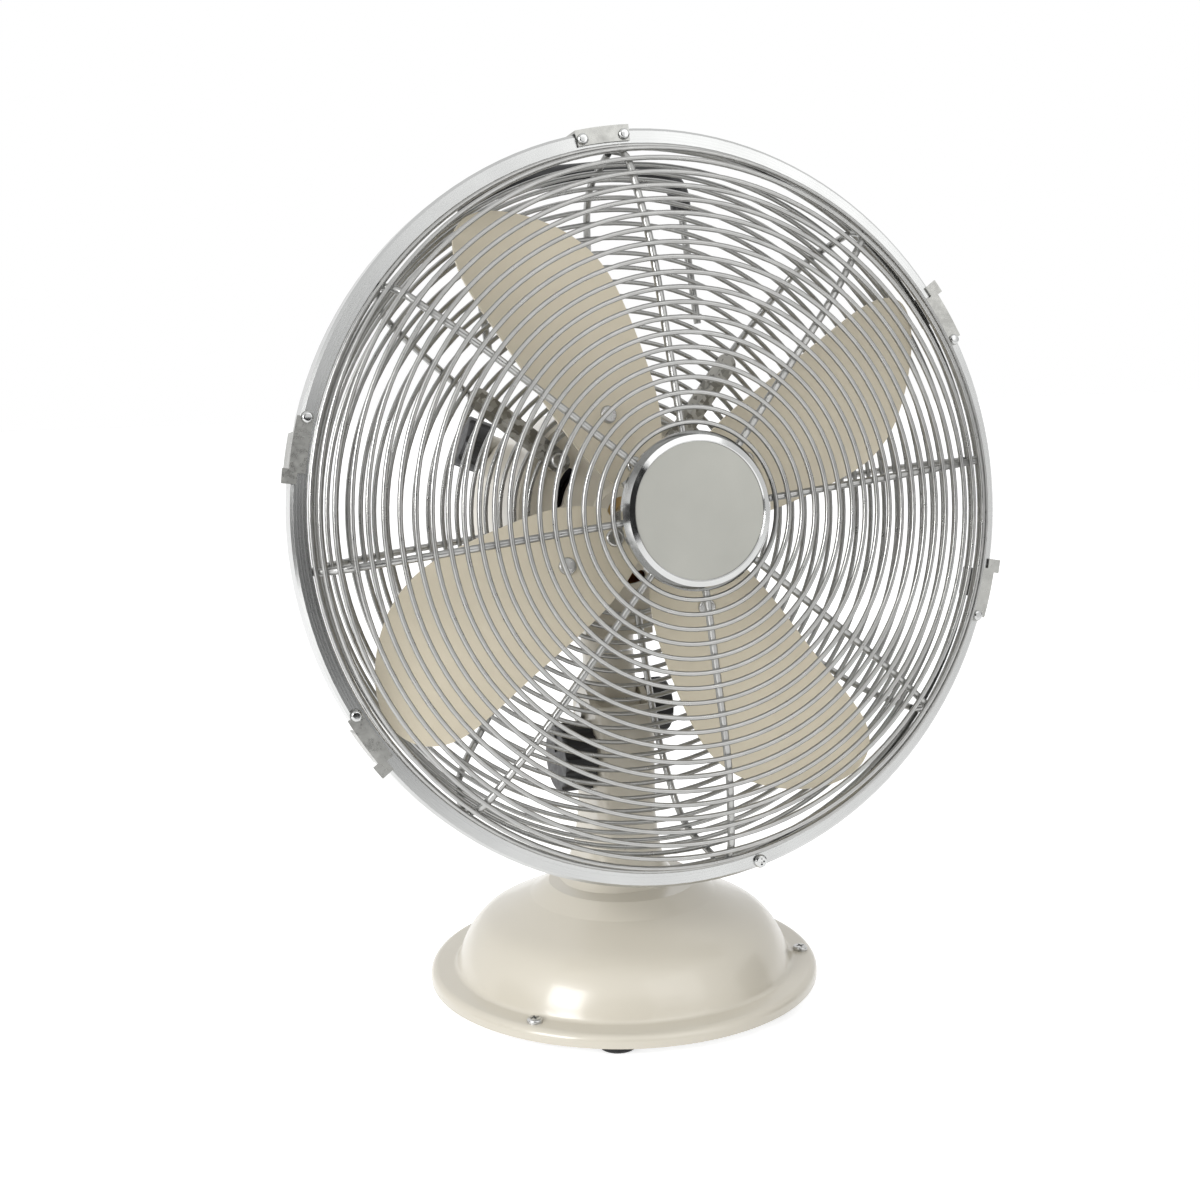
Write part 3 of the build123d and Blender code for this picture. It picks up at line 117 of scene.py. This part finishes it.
class Finish:
    """A material under construction: a Principled shader and the nodes that feed it."""

    def __init__(self, name, roughness, metallic=0.0):
        self.material = bpy.data.materials.new(name)
        self.material.use_nodes = True
        self.tree = self.material.node_tree
        self.shader = self.tree.nodes["Principled BSDF"]
        self.set("Roughness", roughness)
        self.set("Metallic", metallic)
        self.coords = self.tree.nodes.new("ShaderNodeTexCoord").outputs["Object"]

    def set(self, socket, value):
        """Set a constant on the shader."""
        self.shader.inputs[socket].default_value = value

    def node(self, kind, source=None, socket="Vector", **inputs):
        """Add a node, feed one socket and set others by name."""
        made = self.tree.nodes.new(kind)
        for name, value in inputs.items():
            made.inputs[name.replace("_", " ")].default_value = value
        if source is not None:
            self.tree.links.new(source, made.inputs[socket])
        return made

    def noise(self, scale, detail=3.0, vector=None):
        """Noise over the surface, its scale in cells per metre."""
        made = self.node("ShaderNodeTexNoise", vector or self.coords, Scale=scale, Detail=detail)
        return made.outputs["Fac"]

    def around_axis(self):
        """Coordinates about the fan axis: x is the distance from it and y the place along it."""
        moved = self.node("ShaderNodeVectorMath", self.coords)
        moved.operation = "SUBTRACT"
        moved.inputs[1].default_value = RIM_CENTRE
        crossed = self.node("ShaderNodeVectorMath", moved.outputs["Vector"])
        crossed.operation = "CROSS_PRODUCT"
        crossed.inputs[1].default_value = FAN_AXIS
        length = self.node("ShaderNodeVectorMath", crossed.outputs["Vector"])
        length.operation = "LENGTH"
        along = self.node("ShaderNodeVectorMath", moved.outputs["Vector"])
        along.operation = "DOT_PRODUCT"
        along.inputs[1].default_value = FAN_AXIS
        joined = self.node("ShaderNodeCombineXYZ", length.outputs["Value"], "X")
        self.tree.links.new(along.outputs["Value"], joined.inputs["Y"])
        return joined.outputs["Vector"]

    def marks(self, across, along):
        """Fine marks round the fan axis, as many per metre across it and along it."""
        turned = self.node("ShaderNodeMapping", self.around_axis())
        turned.inputs["Scale"].default_value = (across, along, 1.0)
        return self.noise(scale=1.0, detail=2.0, vector=turned.outputs["Vector"])

    def roughen(self, value, low, high):
        """Feed the roughness with a pattern mapped between two limits."""
        made = self.node("ShaderNodeMapRange", value, "Value", To_Min=low, To_Max=high)
        made.inputs["From Min"].default_value = PATTERN_LOW
        made.inputs["From Max"].default_value = PATTERN_HIGH
        self.tree.links.new(made.outputs["Result"], self.shader.inputs["Roughness"])

    def tint(self, value, colour, spread):
        """Feed the base colour, varied by a pattern within a share of itself."""
        made = self.node("ShaderNodeValToRGB", value, "Fac")
        darker, lighter = made.color_ramp.elements
        darker.position = PATTERN_LOW
        lighter.position = PATTERN_HIGH
        darker.color = (*[c * (1 - spread) for c in colour], 1)
        lighter.color = (*[min(1.0, c * (1 + spread)) for c in colour], 1)
        self.tree.links.new(made.outputs["Color"], self.shader.inputs["Base Color"])

    def bump(self, value, distance, strength):
        """Raise the surface by a pattern, over a distance in metres."""
        made = self.node("ShaderNodeBump", value, "Height", Strength=strength, Distance=distance)
        self.tree.links.new(made.outputs["Normal"], self.shader.inputs["Normal"])


def paint(name, colour, roughness, coat):
    """Sprayed enamel: slight shade drift, fine orange peel and a thin clear gloss."""
    made = Finish(name, roughness)
    made.set("Coat Weight", coat)
    made.set("Coat Roughness", 0.13)
    made.tint(made.noise(scale=18.0, detail=1.0), colour, spread=0.008)
    made.roughen(made.noise(scale=60.0, detail=1.0), low=roughness - 0.02, high=roughness + 0.02)
    made.bump(made.noise(scale=900.0, detail=2.0), distance=0.00001, strength=0.25)
    return made.material


def bright_wire():
    """Plated wire with patches of duller plating."""
    made = Finish("plated_wire", roughness=0.3, metallic=1.0)
    made.tint(made.noise(scale=90.0), WIRE_GREY, spread=0.06)
    made.roughen(made.noise(scale=240.0), low=0.26, high=0.38)
    return made.material


def bright_band():
    """Rolled band: bright plating with fine marks of the rolling round the rim."""
    made = Finish("plated_band", roughness=0.2, metallic=1.0)
    rolled = made.marks(ROLLING_MARKS_PER_M, ROLLING_MARKS_PER_M)
    made.tint(made.noise(scale=35.0), BAND_GREY, spread=0.05)
    made.roughen(rolled, low=0.18, high=0.28)
    made.bump(rolled, distance=0.000004, strength=0.4)
    return made.material


def polished_metal():
    """Mirror plating with a trace of haze."""
    made = Finish("polished", roughness=0.1, metallic=1.0)
    made.tint(made.noise(scale=50.0), BAND_GREY, spread=0.05)
    made.roughen(made.noise(scale=300.0), low=0.07, high=0.16)
    return made.material


def satin_disc():
    """Bare disc with fine turning marks about the fan axis."""
    made = Finish("satin_disc", roughness=0.4, metallic=0.85)
    turned = made.marks(TURNING_MARKS_PER_M, along=1.0)
    made.tint(made.noise(scale=40.0), DISC_GREY, spread=0.04)
    made.roughen(turned, low=0.34, high=0.5)
    made.bump(turned, distance=0.00001, strength=0.5)
    return made.material


def zinc_sheet():
    """Galvanised sheet: spangled crystals of light and dark zinc."""
    made = Finish("zinc_sheet", roughness=0.4, metallic=1.0)
    cells = made.node("ShaderNodeTexVoronoi", made.coords, Scale=420.0)
    crystals = made.node("ShaderNodeSeparateColor", cells.outputs["Color"], "Color").outputs["Red"]
    made.tint(crystals, ZINC, spread=0.35)
    made.roughen(crystals, low=0.28, high=0.5)
    made.bump(made.noise(scale=1500.0), distance=0.00002, strength=0.4)
    return made.material


def plain_metal(name, colour, roughness):
    """Turned or drawn metal with faint stains."""
    made = Finish(name, roughness, metallic=1.0)
    made.tint(made.noise(scale=160.0), colour, spread=0.12)
    made.roughen(made.noise(scale=500.0), low=roughness - 0.07, high=roughness + 0.1)
    made.bump(made.noise(scale=2200.0), distance=0.00001, strength=0.4)
    return made.material


def banded(name, colour, roughness, metallic, pitch):
    """Stacked sheets or turns of wire, banded along the fan axis at a pitch."""
    made = Finish(name, roughness, metallic)
    scale = tau / WAVE_RADIANS / pitch
    wave = made.node("ShaderNodeTexWave", made.around_axis(), Scale=scale, Distortion=0.4)
    wave.bands_direction = "Y"
    made.tint(wave.outputs["Fac"], colour, spread=0.25)
    made.bump(wave.outputs["Fac"], distance=0.00015, strength=0.7)
    return made.material


def moulding(name, colour, roughness, grain):
    """Moulded plastic or rubber with a fine spark-eroded grain, in cells per metre."""
    made = Finish(name, roughness)
    made.tint(made.noise(scale=120.0), colour, spread=0.2)
    made.roughen(made.noise(scale=400.0), low=roughness - 0.06, high=roughness + 0.1)
    made.bump(made.noise(scale=grain, detail=2.0), distance=0.00004, strength=0.6)
    return made.material


def soften(node, angle):
    """Shade a node smoothly across edges that bend less than an angle, with its vertices as they are."""
    node.data.polygons.foreach_set("use_smooth", [True] * len(node.data.polygons))
    weld = node.modifiers.new("weld", "WELD")
    weld.merge_threshold = WELD_DISTANCE
    split = node.modifiers.new("edge_split", "EDGE_SPLIT")
    split.split_angle = radians(angle)


def dress(names, material, edge_angle=EDGE_ANGLE):
    """Give CAD nodes a material and smooth shading across shallow edges."""
    for name in names:
        node = nodes[name]
        node.data.materials.clear()
        node.data.materials.append(material)
        soften(node, edge_angle)


def dress_all():
    """Put a finish on every node."""
    dress(PAINTED, paint("cream_enamel", CREAM, roughness=0.3, coat=0.5))
    dress(BLADES, paint("beige_enamel", BEIGE, roughness=0.42, coat=0.2))
    dress(WIRES, bright_wire(), WIRE_EDGE_ANGLE)
    dress(BANDS, bright_band())
    dress(CLIPS, plain_metal("clip_plate", CLIP_GREY, roughness=0.3))
    dress(POLISHED, polished_metal())
    dress(DISCS, satin_disc())
    dress(GALVANISED, zinc_sheet())
    dress(FASTENERS, plain_metal("steel", STEEL, roughness=0.3))
    dress(CORES, banded("laminations", IRON, roughness=0.5, metallic=1.0, pitch=LAMINATION_PITCH))
    dress(WINDINGS, banded("windings", COPPER, roughness=0.4, metallic=0.9, pitch=WINDING_PITCH))
    dress(BEARINGS, plain_metal("bronze", BRONZE, roughness=0.38))
    dress(MOULDED, moulding("black_moulding", BLACK, roughness=0.42, grain=2400.0))
    dress(MOULDED_PALE, moulding("ivory_moulding", IVORY, roughness=0.45, grain=1600.0))
    dress(RUBBER, moulding("rubber", BLACK, roughness=0.62, grain=1800.0))


def add_object(name, data):
    """Link new data into the scene."""
    made = bpy.data.objects.new(name, data)
    bpy.context.scene.collection.objects.link(made)
    return made


def camera_frame():
    """Place and axes of the camera: position, right, up and backward."""
    azimuth = radians(CAMERA_AZIMUTH)
    elevation = radians(CAMERA_ELEVATION)
    back = Vector((sin(azimuth) * cos(elevation), -cos(azimuth) * cos(elevation), sin(elevation)))
    right = UP.cross(back).normalized()
    up = back.cross(right)
    roll = radians(CAMERA_ROLL)
    rolled_right = right * cos(roll) + up * sin(roll)
    rolled_up = up * cos(roll) - right * sin(roll)
    return CAMERA_TARGET + back * CAMERA_DISTANCE, rolled_right, rolled_up, back


def add_camera():
    """Camera at the photograph's place."""
    data = bpy.data.cameras.new("camera")
    data.sensor_width = SENSOR_MM
    data.lens = FOCAL_PX / IMAGE_PX * SENSOR_MM
    data.clip_start = CLIP_START
    made = add_object("camera", data)
    place, right, up, back = camera_frame()
    turn = Matrix((right, up, back)).transposed().to_4x4()
    made.matrix_world = Matrix.Translation(place) @ turn
    bpy.context.scene.camera = made


def seen_rays(tree):
    """Socket that is 1 where the camera sees a surface, directly, in a reflection or through glass."""
    path = tree.nodes.new("ShaderNodeLightPath")
    seen = path.outputs["Is Camera Ray"]
    for name in ("Is Glossy Ray", "Is Transmission Ray"):
        either = tree.nodes.new("ShaderNodeMath")
        either.operation = "MAXIMUM"
        tree.links.new(seen, either.inputs[0])
        tree.links.new(path.outputs[name], either.inputs[1])
        seen = either.outputs["Value"]
    return seen


def add_panel(name, corners):
    """Flat stage panel between four corners."""
    mesh = bpy.data.meshes.new(name)
    mesh.from_pydata(corners, [], [(0, 1, 2, 3)])
    made = add_object(name, mesh)
    return made


def add_floor():
    """Pale floor that looks white to the camera and keeps the fan's shadow."""
    made = add_panel("floor", [(x * FLOOR_SIZE, y * FLOOR_SIZE, 0) for x, y in CORNERS])
    finish = Finish("floor", roughness=0.7)
    finish.tint(finish.noise(scale=4.0), FLOOR_COLOUR, spread=0.01)
    finish.set("Emission Color", WHITE)
    glow = finish.node("ShaderNodeMath", seen_rays(finish.tree), 0)
    glow.operation = "MULTIPLY"
    glow.inputs[1].default_value = FLOOR_GLOW
    finish.tree.links.new(glow.outputs["Value"], finish.shader.inputs["Emission Strength"])
    made.data.materials.append(finish.material)


def add_flag(name, place, width, height):
    """Dark card that only reflections see, facing the camera's target."""
    place = Vector(place)
    facing = (CAMERA_TARGET - place).normalized()
    across = facing.cross(UP).normalized() * width / 2
    upward = across.cross(facing).normalized() * height / 2
    made = add_panel(name, [place + x * across + y * upward for x, y in CORNERS])
    finish = Finish(name, roughness=0.9)
    finish.tint(finish.noise(scale=3.0), FLAG_COLOUR, spread=0.1)
    made.data.materials.append(finish.material)
    made.visible_camera = False
    made.visible_diffuse = False
    made.visible_shadow = False
    made.visible_transmission = False


def add_light(name, place, side, power):
    """Soft square light aimed at the camera's target."""
    data = bpy.data.lights.new(name, "AREA")
    data.size = side
    data.energy = power
    made = add_object(name, data)
    made.location = place
    made.rotation_euler = (CAMERA_TARGET - made.location).to_track_quat("-Z", "Y").to_euler()


def add_world():
    """White backdrop for the camera and for reflections, softer grey light elsewhere."""
    world = bpy.data.worlds.new("studio")
    bpy.context.scene.world = world
    world.use_nodes = True
    tree = world.node_tree
    light = tree.nodes["Background"]
    backdrop = tree.nodes.new("ShaderNodeBackground")
    for background, strength in ((light, WORLD_LIGHT), (backdrop, BACKDROP_LIGHT)):
        background.inputs["Color"].default_value = WHITE
        background.inputs["Strength"].default_value = strength
    mix = tree.nodes.new("ShaderNodeMixShader")
    tree.links.new(seen_rays(tree), mix.inputs["Fac"])
    tree.links.new(light.outputs["Background"], mix.inputs[1])
    tree.links.new(backdrop.outputs["Background"], mix.inputs[2])
    tree.links.new(mix.outputs["Shader"], tree.nodes["World Output"].inputs["Surface"])


dress_all()
add_camera()
add_floor()
add_world()
for name, (place, side, power) in LIGHTS.items():
    add_light(name, place, side, power)
for name, (place, width, height) in FLAGS.items():
    add_flag(name, place, width, height)
bpy.context.scene.view_settings.view_transform = "Standard"
